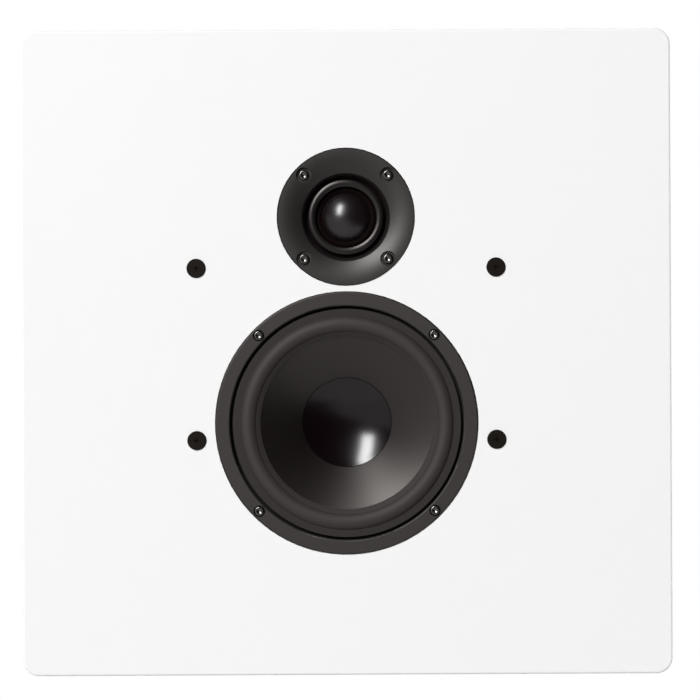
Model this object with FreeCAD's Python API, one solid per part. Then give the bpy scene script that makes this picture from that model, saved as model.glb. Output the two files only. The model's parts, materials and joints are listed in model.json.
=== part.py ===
import FreeCAD
import Part
import math
import os

# Two-way wall loudspeaker, in millimetres.
# Seen from the front +X is right and +Z is up; the front faces -Y.
# The origin is the centre of the back face, which lies on the wall.
# A depth is measured from the front plane of the cabinet and grows towards the wall.

# Cabinet
PANEL_WIDTH = 440.0
PANEL_HEIGHT = 437.0
CORNER_RADIUS = 11.0
FRONT_EDGE_RADIUS = 1.5
BAFFLE_THICKNESS = 19.0
WALL_THICKNESS = 15.0
BACK_THICKNESS = 12.0
BACK_REBATE = 7.0
BACK_CLEARANCE = 0.3
MAGNET_AIR_GAP = 12.3
BRACE_DIAMETER = 24.0
BRACE_INSET = 75.0
WADDING_THICKNESS = 20.0
WADDING_CLEARANCE = 4.0

# Driver layout on the front
WOOFER_DROP = 48.0
DRIVER_GAP = 4.0
FLUSH_GAP = 0.25
CUTOUT_CLEARANCE = 1.0
GLUE_GAP = 0.05

# Woofer frame
WOOFER_FRAME_DIAMETER = 178.0
WOOFER_RIM_WIDTH = 9.8
WOOFER_RIM_ROUND = 1.0
WOOFER_FLANGE_THICKNESS = 7.0
WOOFER_LEDGE_DEPTH = 2.6
WOOFER_LEDGE_WIDTH = 7.9
WOOFER_MOAT_DEPTH = 3.0
WOOFER_GASKET_THICKNESS = 1.5
WOOFER_REAR_CHAMFER = 5.0
BASKET_WALL = 3.5
BASKET_WINDOWS = 6
BASKET_SPOKE_ANGLE = 22.0
BASKET_WINDOW_MARGIN = 3.0
SPIDER_SEAT_WIDTH = 7.0
SPIDER_SEAT_LIP = 1.0

# Woofer moving parts
SURROUND_THICKNESS = 0.8
SURROUND_GROOVE = 1.9
SURROUND_LANDING = 4.8
SURROUND_ROLL_WIDTH = 11.0
SURROUND_ROLL_HEIGHT = 3.2
SURROUND_FLAP = 3.1
SURROUND_FLAP_DROP = 0.8
CONE_THICKNESS = 0.9
CONE_DEPTH = 26.2
CONE_BULGE = 1.2
CONE_NECK = 2.0
CAP_DIAMETER = 60.4
CAP_SAG = 7.0
CAP_THICKNESS = 0.6
WOOFER_EXCURSION = 5.0
FORMER_RADIUS = 16.0
FORMER_THICKNESS = 0.3
WOOFER_COIL_THICKNESS = 0.6
COIL_CLEARANCE = 0.5
SPIDER_STEP = 3.5
SPIDER_THICKNESS = 0.6
SPIDER_WAVE_HEIGHT = 1.0
SPIDER_HALF_WAVES = 8
SPIDER_NECK_GAP = 2.5
SPIDER_AIR_GAP = 3.0

# Woofer motor
WOOFER_PLATE_THICKNESS = 6.0
WOOFER_PLATE_STEP = 0.5
WOOFER_MAGNET_THICKNESS = 15.0
WOOFER_MAGNET_RADIUS = 47.5
WOOFER_MAGNET_BORE_RADIUS = 24.0
WOOFER_VENT_RADIUS = 5.0
POLE_CHAMFER = 1.0

# Woofer connections
TERMINAL_BOARD_WIDTH = 18.0
TERMINAL_BOARD_MARGIN = 1.0
TAB_WIDTH = 4.8
TAB_THICKNESS = 0.8
TAB_LENGTH = 8.0
TAB_PITCH = 10.0
TINSEL_RADIUS = 0.5
TINSEL_CONE_RADIUS = 27.0

# Tweeter
TWEETER_FACE_DIAMETER = 93.2
TWEETER_FACE_THICKNESS = 4.0
TWEETER_EDGE_ROUND = 0.6
TWEETER_FLAT_EDGE = 1.5
TWEETER_SCREW_INSET = 6.4
TWEETER_FLARE_WIDTH = 16.3
TWEETER_MOUTH_DEPTH = 2.9
TWEETER_LIP_WIDTH = 1.0
TWEETER_LIP_DEPTH = 1.3
TWEETER_THROAT_INSET = 2.7
TWEETER_THROAT_DEPTH = 9.3
TWEETER_BODY_DEPTH = 11.0
TWEETER_BOSS_WALL = 2.8
TWEETER_GASKET_THICKNESS = 1.0
CLAMP_RING_GAP = 2.3
CLAMP_RING_WIDTH = 4.4
CLAMP_RING_HEIGHT = 5.0
CLAMP_RING_CROWN = 0.6
DOME_THICKNESS = 0.4
DOME_FLANGE_GRIP = 1.5
DOME_FLANGE_GAP = 0.3
DOME_RING_GAP = 0.4
DOME_HEIGHT = 7.6
DOME_ROLL_WIDTH = 3.9
DOME_ROLL_HEIGHT = 1.0
TWEETER_FORMER_THICKNESS = 0.3
TWEETER_FORMER_LENGTH = 2.6
TWEETER_COIL_THICKNESS = 0.5
TWEETER_COIL_HEIGHT = 1.8
TWEETER_GAP_CLEARANCE = 0.5
TWEETER_MOTOR_STEP = 1.0
TWEETER_PLATE_THICKNESS = 3.0
TWEETER_MAGNET_THICKNESS = 12.0
TWEETER_BORE_STEP = 1.5
TWEETER_YOKE_THICKNESS = 4.0
TWEETER_VENT_RADIUS = 4.0
REAR_CHAMBER_STEP = 9.1
REAR_CHAMBER_DEPTH = 14.0
REAR_CHAMBER_WALL = 1.5
TWEETER_TERMINAL_HEIGHT = 2.0

# Screws
DRIVER_SCREW_RADIUS = 2.0
DRIVER_SCREW_HEAD_RADIUS = 3.4
DRIVER_SCREW_HEAD_HEIGHT = 2.3
DRIVER_SCREW_CROWN_RADIUS = 2.3
DRIVER_SCREW_EDGE_HEIGHT = 0.9
DRIVER_SCREW_SOCKET = 3.5
DRIVER_SCREW_SOCKET_DEPTH = 1.6
DRIVER_SCREW_SOCKET_POINT = 0.7
WOOFER_COUNTERBORE_RADIUS = 3.9
TWEETER_COUNTERBORE_RADIUS = 5.2
COUNTERBORE_DEPTH = 2.6
WOOD_SCREW_RADIUS = 1.5
WOOD_SCREW_HEAD_RADIUS = 3.0
WOOD_SCREW_HEAD_HEIGHT = 1.7
WOOD_SCREW_HEAD_EDGE = 0.3
WOOD_SCREW_RECESS = 3.6
WOOD_SCREW_RECESS_SLOT = 0.9
SCREW_END_MARGIN = 1.0
SCREW_CLEARANCE = 0.1

# Discs that hold the cloth front
DISC_DIAMETER = 13.0
DISC_THICKNESS = 2.5
DISC_PROUD = 1.0
DISC_ROUND = 0.5
DISC_SIDE_GAP = 6.0
DISC_SPACING = 116.6
DISC_DROP = 1.2

# Terminal cup and binding posts
CUP_RISE = 48.0
CUP_FLANGE_WIDTH = 84.0
CUP_FLANGE_HEIGHT = 60.0
CUP_FLANGE_RADIUS = 6.0
CUP_FLANGE_THICKNESS = 2.5
CUP_MOUTH_WIDTH = 62.0
CUP_MOUTH_HEIGHT = 40.0
CUP_MOUTH_RADIUS = 7.0
CUP_DRAFT = 3.0
CUP_DEPTH = 28.0
CUP_WALL = 2.0
CUP_SCREW_INSET = 4.5
POST_SPACING = 19.05
POST_RADIUS = 3.5
POST_LENGTH = 21.0
POST_TIP_EDGE = 0.4
POST_BORE_RADIUS = 2.0
POST_BORE_DEPTH = 17.0
POST_CROSS_HOLE_RADIUS = 1.2
POST_COLLAR_RADIUS = 6.0
POST_COLLAR_HEIGHT = 3.0
POST_TAIL_RADIUS = 3.0
POST_TAIL_STUB = 1.5
POST_NUT_ACROSS = 9.0
POST_NUT_HEIGHT = 3.0
TAG_RADIUS = 5.5
TAG_THICKNESS = 0.8
TAG_REACH = 14.0
WASHER_RADIUS = 5.8
WASHER_THICKNESS = 1.0
KNOB_RADIUS = 7.5
KNOB_LENGTH = 15.0
KNOB_CLEARANCE = 0.1
KNOB_FLUTES = 12
KNOB_FLUTE_RADIUS = 1.0
KNOB_EDGE = 0.8

# Keyhole hangers
HANGER_SPACING = 260.0
HANGER_DROP = 62.0
HANGER_WIDTH = 46.0
HANGER_HEIGHT = 28.0
HANGER_RADIUS = 4.0
HANGER_THICKNESS = 2.0
KEYHOLE_ENTRY_RADIUS = 5.0
KEYHOLE_SLOT_RADIUS = 2.6
KEYHOLE_TRAVEL = 9.0
KEYHOLE_POCKET_GROWTH = 1.2
KEYHOLE_POCKET_FLOOR = 3.0
HANGER_SCREW_INSET = 6.0

# Crossover
BOARD_WIDTH = 80.0
BOARD_HEIGHT = 110.0
BOARD_THICKNESS = 1.6
BOARD_WALL_GAP = 18.0
BOARD_HOLE_INSET = 5.0
STANDOFF_HEIGHT = 8.0
STANDOFF_RADIUS = 3.5
BOARD_SCREW_BITE = 8.0
BASS_COIL_RADIUS = 26.0
BASS_COIL_HEIGHT = 24.0
BASS_COIL_CORE_RADIUS = 8.0
BOBBIN_WALL = 2.0
TREBLE_COIL_RADIUS = 15.0
TREBLE_COIL_BORE_RADIUS = 6.0
TREBLE_COIL_HEIGHT = 14.0
BASS_CAPACITOR_RADIUS = 9.0
BASS_CAPACITOR_LENGTH = 36.0
TREBLE_CAPACITOR_RADIUS = 7.0
TREBLE_CAPACITOR_LENGTH = 38.0
RESISTOR_THICKNESS = 10.0
RESISTOR_LENGTH = 34.0
PAD_INSET = 4.0
PAD_START = 12.0
PAD_PITCH = 6.5
LEAD_RADIUS = 1.2
LEAD_BEND = 6.0
LEAD_RISE = 14.0

# Radii of the woofer, from the rim inwards
woofer_radius = WOOFER_FRAME_DIAMETER / 2
rim_inner_radius = woofer_radius - WOOFER_RIM_WIDTH
woofer_screw_radius = woofer_radius - WOOFER_RIM_WIDTH / 2
ledge_inner_radius = rim_inner_radius - WOOFER_LEDGE_WIDTH
basket_body_radius = ledge_inner_radius + BASKET_WALL
surround_outer_radius = rim_inner_radius - SURROUND_GROOVE
roll_outer_radius = surround_outer_radius - SURROUND_LANDING
roll_inner_radius = roll_outer_radius - SURROUND_ROLL_WIDTH
flap_inner_radius = roll_inner_radius - SURROUND_FLAP
cone_outer_radius = roll_inner_radius - CONE_THICKNESS
former_outer_radius = FORMER_RADIUS + FORMER_THICKNESS / 2
former_inner_radius = FORMER_RADIUS - FORMER_THICKNESS / 2
neck_radius = former_outer_radius + GLUE_GAP
coil_outer_radius = former_outer_radius + GLUE_GAP + WOOFER_COIL_THICKNESS
cap_radius = CAP_DIAMETER / 2
woofer_plate_radius = WOOFER_MAGNET_RADIUS - WOOFER_PLATE_STEP
spider_radius = woofer_plate_radius + SPIDER_STEP
spider_seat_radius = spider_radius - SPIDER_SEAT_WIDTH
basket_foot_radius = spider_radius + BASKET_WALL

# Depths of the woofer, from the front inwards
cone_rim_depth = WOOFER_LEDGE_DEPTH + SURROUND_FLAP_DROP
moat_depth = WOOFER_LEDGE_DEPTH + WOOFER_MOAT_DEPTH
neck_depth = cone_rim_depth + CONE_DEPTH
spider_depth = neck_depth + CONE_NECK + SPIDER_NECK_GAP
spider_seat_depth = spider_depth + SPIDER_THICKNESS
woofer_motor_depth = spider_seat_depth + WOOFER_EXCURSION + SPIDER_WAVE_HEIGHT + SPIDER_AIR_GAP
woofer_magnet_depth = woofer_motor_depth + WOOFER_PLATE_THICKNESS
woofer_yoke_depth = woofer_magnet_depth + WOOFER_MAGNET_THICKNESS
woofer_depth = woofer_yoke_depth + WOOFER_PLATE_THICKNESS
woofer_coil_middle = woofer_motor_depth + WOOFER_PLATE_THICKNESS / 2
woofer_coil_half = WOOFER_PLATE_THICKNESS / 2 + WOOFER_EXCURSION
woofer_rebate_depth = WOOFER_FLANGE_THICKNESS + WOOFER_GASKET_THICKNESS

# The cabinet is as deep as the woofer, the air behind it and the back panel
CABINET_DEPTH = woofer_depth + MAGNET_AIR_GAP + BACK_THICKNESS
inside_back = CABINET_DEPTH - BACK_THICKNESS
inside_width = PANEL_WIDTH - 2 * WALL_THICKNESS
inside_height = PANEL_HEIGHT - 2 * WALL_THICKNESS

# Tweeter radii and depths
tweeter_radius = TWEETER_FACE_DIAMETER / 2
tweeter_screw_radius = tweeter_radius - TWEETER_SCREW_INSET
tweeter_mouth_radius = tweeter_radius - TWEETER_FLARE_WIDTH
tweeter_throat_radius = tweeter_mouth_radius - TWEETER_THROAT_INSET
tweeter_boss_radius = tweeter_mouth_radius + TWEETER_BOSS_WALL
tweeter_plate_radius = tweeter_boss_radius - TWEETER_MOTOR_STEP
tweeter_magnet_radius = tweeter_plate_radius - TWEETER_MOTOR_STEP
tweeter_yoke_radius = tweeter_magnet_radius - TWEETER_MOTOR_STEP
rear_chamber_radius = tweeter_yoke_radius - REAR_CHAMBER_STEP
tweeter_rebate_depth = TWEETER_FACE_THICKNESS + TWEETER_GASKET_THICKNESS
clamp_outer_radius = tweeter_throat_radius - CLAMP_RING_GAP
clamp_inner_radius = clamp_outer_radius - CLAMP_RING_WIDTH
dome_depth = TWEETER_BODY_DEPTH - DOME_THICKNESS
dome_radius = clamp_inner_radius - DOME_RING_GAP - DOME_ROLL_WIDTH
dome_roll_radius = dome_radius + DOME_ROLL_WIDTH / 2
dome_flange_radius = tweeter_throat_radius + DOME_FLANGE_GRIP
dome_seat_radius = dome_flange_radius + DOME_FLANGE_GAP
dome_clamp_depth = dome_depth - GLUE_GAP
tweeter_magnet_depth = TWEETER_BODY_DEPTH + TWEETER_PLATE_THICKNESS
tweeter_yoke_depth = tweeter_magnet_depth + TWEETER_MAGNET_THICKNESS
tweeter_chamber_depth = tweeter_yoke_depth + TWEETER_YOKE_THICKNESS

# Places on the panel, as (x, z) from the panel centre
WOOFER = (0.0, -WOOFER_DROP)
TWEETER = (0.0, woofer_radius + DRIVER_GAP + tweeter_radius - WOOFER_DROP)
CUP = (0.0, CUP_RISE - PANEL_HEIGHT / 2)
BOARD = (inside_width / 2 - BOARD_WALL_GAP - BOARD_WIDTH / 2, 0.0)
disc_radius = DISC_DIAMETER / 2
disc_seat_depth = DISC_THICKNESS - DISC_PROUD
disc_x = woofer_radius + DISC_SIDE_GAP + disc_radius
hanger_z = PANEL_HEIGHT / 2 - HANGER_DROP

# Screw lengths follow the boards that the screws go into
driver_screw_length = BAFFLE_THICKNESS - COUNTERBORE_DEPTH - SCREW_END_MARGIN
wood_screw_length = BACK_THICKNESS - 2 * SCREW_END_MARGIN
board_front = inside_back - STANDOFF_HEIGHT - BOARD_THICKNESS
board_screw_length = BOARD_THICKNESS + STANDOFF_HEIGHT + BOARD_SCREW_BITE

BACKWARD = FreeCAD.Vector(0, 1, 0)
RIGHT = FreeCAD.Vector(1, 0, 0)
UPWARD = FreeCAD.Vector(0, 0, 1)


def place(x, depth, z):
    return FreeCAD.Vector(x, depth - CABINET_DEPTH, z)


def corners(centre, half_width, half_height):
    return [(centre[0] + a * half_width, centre[1] + b * half_height) for a in (-1, 1) for b in (-1, 1)]


def around(centre, radius, count, first_angle):
    angles = [math.radians(first_angle + 360 / count * index) for index in range(count)]
    return [(centre[0] + radius * math.cos(angle), centre[1] + radius * math.sin(angle)) for angle in angles]


def block(x0, x1, depth0, depth1, z0, z1):
    return Part.makeBox(x1 - x0, depth1 - depth0, z1 - z0, place(x0, depth0, z0))


def rod(centre, radius, depth0, depth1):
    return Part.makeCylinder(radius, depth1 - depth0, place(centre[0], depth0, centre[1]), BACKWARD)


def tube(centre, inner_radius, outer_radius, depth0, depth1):
    return rod(centre, outer_radius, depth0, depth1).cut(rod(centre, inner_radius, depth0, depth1))


# A closed outline of (radius, depth) points; four numbers are an arc through the first pair
def profile(points, centre):
    ends = [place(centre[0] + point[-2], point[-1], centre[1]) for point in points]
    edges = []
    for index, point in enumerate(points):
        if len(point) == 4:
            middle = place(centre[0] + point[0], point[1], centre[1])
            edges.append(Part.Arc(ends[index - 1], middle, ends[index]).toShape())
        else:
            edges.append(Part.LineSegment(ends[index - 1], ends[index]).toShape())
    return Part.Face(Part.Wire(edges))


def turned(points, centre, angle=360):
    return profile(points, centre).revolve(place(centre[0], 0, centre[1]), BACKWARD, angle)


# A rectangle with round corners, standing at one depth
def rounded_outline(centre, width, height, radius, depth):
    x_side = width / 2
    z_side = height / 2
    inset = radius * (1 - math.sqrt(0.5))
    edges = []
    last = None
    for a, b in ((1, 1), (-1, 1), (-1, -1), (1, -1), (1, 1)):
        on_side = place(centre[0] + a * x_side, depth, centre[1] + b * (z_side - radius))
        on_end = place(centre[0] + a * (x_side - radius), depth, centre[1] + b * z_side)
        bend = place(centre[0] + a * (x_side - inset), depth, centre[1] + b * (z_side - inset))
        first, second = (on_side, on_end) if a * b > 0 else (on_end, on_side)
        if last is not None:
            edges.append(Part.LineSegment(last, first).toShape())
        if len(edges) < 8:
            edges.append(Part.Arc(first, bend, second).toShape())
        last = second
    return Part.Wire(edges)


def plate(centre, width, height, radius, depth0, depth1):
    outline = rounded_outline(centre, width, height, radius, depth0)
    return Part.Face(outline).extrude(BACKWARD * (depth1 - depth0))


def hexagon(centre, across, depth0, depth1):
    points = around(centre, across / math.sqrt(3), 6, 0)
    vectors = [place(x, depth0, z) for x, z in points]
    outline = Part.makePolygon(vectors + vectors[:1])
    return Part.Face(outline).extrude(BACKWARD * (depth1 - depth0))


# A hole with a keyhole's outline: a round entry with a narrower slot above it
def keyhole(centre, entry_radius, slot_radius, travel, depth0, depth1):
    x, z = centre
    slot = block(x - slot_radius, x + slot_radius, depth0, depth1, z, z + travel)
    ends = [rod(centre, entry_radius, depth0, depth1), rod((x, z + travel), slot_radius, depth0, depth1)]
    return slot.fuse(ends).removeSplitter()


# Where an arc that leaves start along direction passes halfway to end, and the way it points there
def smooth_arc(start, direction, end):
    chord = (end[0] - start[0], end[1] - start[1])
    length = math.hypot(chord[0], chord[1])
    chord_angle = math.atan2(chord[1], chord[0])
    turn = chord_angle - math.atan2(direction[1], direction[0])
    turn = math.atan2(math.sin(turn), math.cos(turn))
    rise = length / 2 * math.tan(turn / 2)
    middle_x = start[0] + chord[0] / 2 + rise * chord[1] / length
    middle_y = start[1] + chord[1] / 2 - rise * chord[0] / length
    leaving = (math.cos(chord_angle + turn), math.sin(chord_angle + turn))
    return (middle_x, middle_y, end[0], end[1]), leaving


# Halfway point of the arc of a round cap, as (radius, height above its edge)
def crown_middle(edge_radius, height):
    sphere = (edge_radius ** 2 + height ** 2) / (2 * height)
    angle = math.atan2(edge_radius, sphere - height) / 2
    return sphere * math.sin(angle), height - sphere * (1 - math.cos(angle))


# Half roll of even thickness: its front arc, and its back arc between the flats behind it
def half_roll(middle, half_width, height, thickness, depth):
    radius = (half_width ** 2 + height ** 2) / (2 * height)
    centre_depth = depth - height + radius
    back_width = math.sqrt((radius - thickness) ** 2 - (depth + thickness - centre_depth) ** 2)
    crest = depth - height
    front = [(middle - half_width, depth), (middle, crest, middle + half_width, depth)]
    back = [(middle + back_width, depth + thickness),
            (middle, crest + thickness, middle - back_width, depth + thickness)]
    return front, back


# A button-head screw with a hexagon socket, driven in from the front
def driver_screw(centre, head_back):
    head_front = head_back - DRIVER_SCREW_HEAD_HEIGHT
    tip = head_back + driver_screw_length
    crown = (DRIVER_SCREW_CROWN_RADIUS, head_front)
    edge = (DRIVER_SCREW_HEAD_RADIUS, head_back - DRIVER_SCREW_EDGE_HEIGHT)
    shoulder = smooth_arc(crown, (1, 0), edge)[0]
    outline = [(0, head_front), crown, shoulder, (DRIVER_SCREW_HEAD_RADIUS, head_back),
               (DRIVER_SCREW_RADIUS, head_back), (DRIVER_SCREW_RADIUS, tip - DRIVER_SCREW_RADIUS), (0, tip)]
    socket_end = head_front + DRIVER_SCREW_SOCKET_DEPTH
    socket = hexagon(centre, DRIVER_SCREW_SOCKET, head_front - 1, socket_end)
    socket_radius = DRIVER_SCREW_SOCKET / 2
    drilled = turned([(0, head_front), (socket_radius, head_front), (socket_radius, socket_end),
                      (0, socket_end + DRIVER_SCREW_SOCKET_POINT)], centre)
    return turned(outline, centre).cut([socket, drilled])


# A countersunk form: the screw itself, or with growth the hole for it; way is 1 inwards and -1 forwards
def countersunk(centre, face_depth, way, length, growth=0.0):
    head = WOOD_SCREW_HEAD_RADIUS + growth
    shank = WOOD_SCREW_RADIUS + growth
    head_edge = face_depth + way * WOOD_SCREW_HEAD_EDGE
    neck = head_edge + way * WOOD_SCREW_HEAD_HEIGHT
    tip = face_depth + way * (length + growth)
    outline = [(0, face_depth), (head, face_depth), (head, head_edge), (shank, neck),
               (shank, tip - way * WOOD_SCREW_RADIUS), (0, tip)]
    return turned(outline, centre)


def wood_screw(centre, face_depth, way, length):
    x, z = centre
    near, far = sorted((face_depth - way, face_depth + way * WOOD_SCREW_HEAD_HEIGHT))
    arm = WOOD_SCREW_RECESS / 2
    half = WOOD_SCREW_RECESS_SLOT / 2
    recess = [block(x - arm, x + arm, near, far, z - half, z + half),
              block(x - half, x + half, near, far, z - arm, z + arm)]
    return countersunk(centre, face_depth, way, length).cut(recess)


def wood_screws(centres, face_depth, way):
    return group([wood_screw(centre, face_depth, way, wood_screw_length) for centre in centres])


def wood_screw_holes(centres, face_depth, way):
    return [countersunk(centre, face_depth, way, wood_screw_length, SCREW_CLEARANCE) for centre in centres]


# A lead along straight runs joined by tangent arcs
def lead(points, radius, bend):
    edges = []
    start = points[0]
    for before, corner, after in zip(points, points[1:], points[2:]):
        into = (corner - before).normalize()
        out = (after - corner).normalize()
        half_turn = into.getAngle(out) / 2
        reach = bend * math.tan(half_turn)
        first = corner - into * reach
        last = corner + out * reach
        middle = corner + (out - into).normalize() * (bend / math.cos(half_turn) - bend)
        edges.append(Part.LineSegment(start, first).toShape())
        edges.append(Part.Arc(first, middle, last).toShape())
        start = last
    edges.append(Part.LineSegment(start, points[-1]).toShape())
    section = Part.Wire([Part.Circle(points[0], points[1] - points[0], radius).toShape()])
    return Part.Wire(edges).makePipeShell([section], True, False)


def group(shapes):
    return Part.makeCompound(shapes)


woofer_screw_places = around(WOOFER, woofer_screw_radius, 4, 45)
tweeter_screw_places = around(TWEETER, tweeter_screw_radius, 4, 45)
disc_places = corners((0, -DISC_DROP), disc_x, DISC_SPACING / 2)
brace_places = corners((0, 0), PANEL_WIDTH / 2 - BRACE_INSET, PANEL_HEIGHT / 2 - BRACE_INSET)
cup_screw_places = corners(CUP, CUP_FLANGE_WIDTH / 2 - CUP_SCREW_INSET,
                           CUP_FLANGE_HEIGHT / 2 - CUP_SCREW_INSET)
post_places = [(CUP[0] + side * POST_SPACING / 2, CUP[1]) for side in (-1, 1)]
keyhole_places = [(side * HANGER_SPACING / 2, hanger_z) for side in (-1, 1)]
hanger_centres = [(x, z + KEYHOLE_TRAVEL / 2) for x, z in keyhole_places]
hanger_screw_places = [(x + side * (HANGER_WIDTH / 2 - HANGER_SCREW_INSET), z)
                       for x, z in hanger_centres for side in (-1, 1)]
board_screw_places = corners(BOARD, BOARD_WIDTH / 2 - BOARD_HOLE_INSET, BOARD_HEIGHT / 2 - BOARD_HOLE_INSET)

parts = {}

# Front board with its rebates, cut-outs and pilot holes
board = plate((0, 0), PANEL_WIDTH, PANEL_HEIGHT, CORNER_RADIUS, 0, BAFFLE_THICKNESS)
front_edges = [edge for edge in board.Edges if edge.BoundBox.YMax < 0.001 - CABINET_DEPTH]
board = board.makeFillet(FRONT_EDGE_RADIUS, front_edges)
woofer_hole = basket_body_radius + CUTOUT_CLEARANCE
tweeter_hole = tweeter_boss_radius + CUTOUT_CLEARANCE
chamfer_start = BAFFLE_THICKNESS - WOOFER_REAR_CHAMFER
rear_chamfer = [(0, chamfer_start), (woofer_hole, chamfer_start),
                (woofer_hole + WOOFER_REAR_CHAMFER, BAFFLE_THICKNESS), (0, BAFFLE_THICKNESS)]
pilot_radius = DRIVER_SCREW_RADIUS + SCREW_CLEARANCE
pilot_end = COUNTERBORE_DEPTH + driver_screw_length + SCREW_CLEARANCE
cuts = [rod(WOOFER, woofer_radius + FLUSH_GAP, -1, woofer_rebate_depth),
        rod(WOOFER, woofer_hole, -1, BAFFLE_THICKNESS + 1),
        turned(rear_chamfer, WOOFER),
        rod(TWEETER, tweeter_radius + FLUSH_GAP, -1, tweeter_rebate_depth),
        rod(TWEETER, tweeter_hole, -1, BAFFLE_THICKNESS + 1)]
cuts += [rod(point, pilot_radius, 0, pilot_end) for point in woofer_screw_places + tweeter_screw_places]
cuts += wood_screw_holes(disc_places, -DISC_PROUD, 1)
cuts += [rod(point, disc_radius + GLUE_GAP, -1, disc_seat_depth) for point in disc_places]
parts["front_baffle"] = board.cut(cuts)

# Four mitred walls with a step for the back panel
half_width = PANEL_WIDTH / 2
half_height = PANEL_HEIGHT / 2
rebate_x = inside_width / 2 + BACK_REBATE
rebate_z = inside_height / 2 + BACK_REBATE
ring = plate((0, 0), PANEL_WIDTH, PANEL_HEIGHT, CORNER_RADIUS, BAFFLE_THICKNESS, CABINET_DEPTH)
inside = block(-inside_width / 2, inside_width / 2, 0, CABINET_DEPTH + 1,
               -inside_height / 2, inside_height / 2)
rebate = block(-rebate_x, rebate_x, inside_back, CABINET_DEPTH + 1, -rebate_z, rebate_z)
ring = ring.cut([inside, rebate])
mitres = {"top_wall": ((-1, 1), (1, 1)), "bottom_wall": ((-1, -1), (1, -1)),
          "left_wall": ((-1, -1), (-1, 1)), "right_wall": ((1, -1), (1, 1))}
for name, ((a, b), (c, d)) in mitres.items():
    outline = [place(a * half_width, 0, b * half_height), place(c * half_width, 0, d * half_height),
               place(c * inside_width / 2, 0, d * inside_height / 2),
               place(a * inside_width / 2, 0, b * inside_height / 2)]
    wedge = Part.Face(Part.makePolygon(outline + outline[:1])).extrude(BACKWARD * (CABINET_DEPTH + 1))
    parts[name] = ring.common(wedge)

# Back panel with the cup opening, the hanger pockets and blind pilot holes
panel_x = rebate_x - BACK_CLEARANCE
panel_z = rebate_z - BACK_CLEARANCE
cup_growth = 2 * (CUP_WALL + CUTOUT_CLEARANCE)
cup_opening = (CUP_MOUTH_WIDTH + cup_growth, CUP_MOUTH_HEIGHT + cup_growth)
pocket_front = inside_back + KEYHOLE_POCKET_FLOOR
cuts = [plate(CUP, cup_opening[0], cup_opening[1], CUP_MOUTH_RADIUS + CUP_WALL,
              inside_back - 1, CABINET_DEPTH + 1),
        plate(CUP, CUP_FLANGE_WIDTH + FLUSH_GAP, CUP_FLANGE_HEIGHT + FLUSH_GAP, CUP_FLANGE_RADIUS,
              CABINET_DEPTH - CUP_FLANGE_THICKNESS, CABINET_DEPTH + 1)]
for centre, entry in zip(hanger_centres, keyhole_places):
    cuts.append(plate(centre, HANGER_WIDTH + FLUSH_GAP, HANGER_HEIGHT + FLUSH_GAP, HANGER_RADIUS,
                      CABINET_DEPTH - HANGER_THICKNESS, CABINET_DEPTH + 1))
    pocket_radius = KEYHOLE_ENTRY_RADIUS + KEYHOLE_POCKET_GROWTH
    cuts.append(keyhole(entry, pocket_radius, pocket_radius, KEYHOLE_TRAVEL,
                        pocket_front, CABINET_DEPTH + 1))
cuts += wood_screw_holes(cup_screw_places + hanger_screw_places, CABINET_DEPTH, -1)
shank_hole = WOOD_SCREW_RADIUS + SCREW_CLEARANCE
bite_end = inside_back + BOARD_SCREW_BITE + SCREW_CLEARANCE
cuts += [rod(point, shank_hole, inside_back - 1, bite_end) for point in board_screw_places]
parts["back_panel"] = block(-panel_x, panel_x, inside_back, CABINET_DEPTH, -panel_z, panel_z).cut(cuts)

braces = [rod(point, BRACE_DIAMETER / 2, BAFFLE_THICKNESS, inside_back) for point in brace_places]
parts["brace_posts"] = group(braces)

# Damping sheet on the back panel, open round everything that stands on it
wadding_x = inside_width / 2 - WADDING_CLEARANCE
wadding_z = inside_height / 2 - WADDING_CLEARANCE
wadding_front = inside_back - WADDING_THICKNESS
room_end = inside_back + 1
room = 2 * WADDING_CLEARANCE
cuts = [rod(WOOFER, WOOFER_MAGNET_RADIUS + WADDING_CLEARANCE, 0, room_end),
        plate(CUP, cup_opening[0] + room, cup_opening[1] + room, CUP_MOUTH_RADIUS, 0, room_end),
        plate(BOARD, BOARD_WIDTH + room, BOARD_HEIGHT + room, WADDING_CLEARANCE, 0, room_end)]
cuts += [rod(point, BRACE_DIAMETER / 2 + WADDING_CLEARANCE, 0, room_end) for point in brace_places]
parts["wadding"] = block(-wadding_x, wadding_x, wadding_front, inside_back, -wadding_z, wadding_z).cut(cuts)

# Woofer basket: screwed rim, ledge for the surround, windowed wall, spider seat and motor foot
wall_top = WOOFER_FLANGE_THICKNESS + BASKET_WALL
rim_inner_side = (rim_inner_radius, WOOFER_RIM_ROUND)
rim_outer_side = (woofer_radius, WOOFER_RIM_ROUND)
rim_inner_top = (rim_inner_radius + WOOFER_RIM_ROUND, 0)
rim_outer_top = (woofer_radius - WOOFER_RIM_ROUND, 0)
outline = [smooth_arc(rim_inner_side, (0, -1), rim_inner_top)[0], rim_outer_top,
           smooth_arc(rim_outer_top, (1, 0), rim_outer_side)[0], (woofer_radius, WOOFER_FLANGE_THICKNESS),
           (basket_body_radius, WOOFER_FLANGE_THICKNESS), (basket_body_radius, wall_top),
           (basket_foot_radius, spider_depth + BASKET_WALL), (basket_foot_radius, woofer_motor_depth),
           (spider_seat_radius, woofer_motor_depth), (spider_seat_radius, spider_seat_depth),
           (spider_radius + GLUE_GAP, spider_seat_depth),
           (spider_radius + GLUE_GAP, spider_depth - SPIDER_SEAT_LIP),
           (ledge_inner_radius, WOOFER_FLANGE_THICKNESS), (ledge_inner_radius, WOOFER_LEDGE_DEPTH),
           (surround_outer_radius, WOOFER_LEDGE_DEPTH), (surround_outer_radius, moat_depth),
           (rim_inner_radius, moat_depth), rim_inner_side]
basket = turned(outline, WOOFER)
window_angle = 360 / BASKET_WINDOWS - BASKET_SPOKE_ANGLE
window_top = wall_top + BASKET_WINDOW_MARGIN
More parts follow.
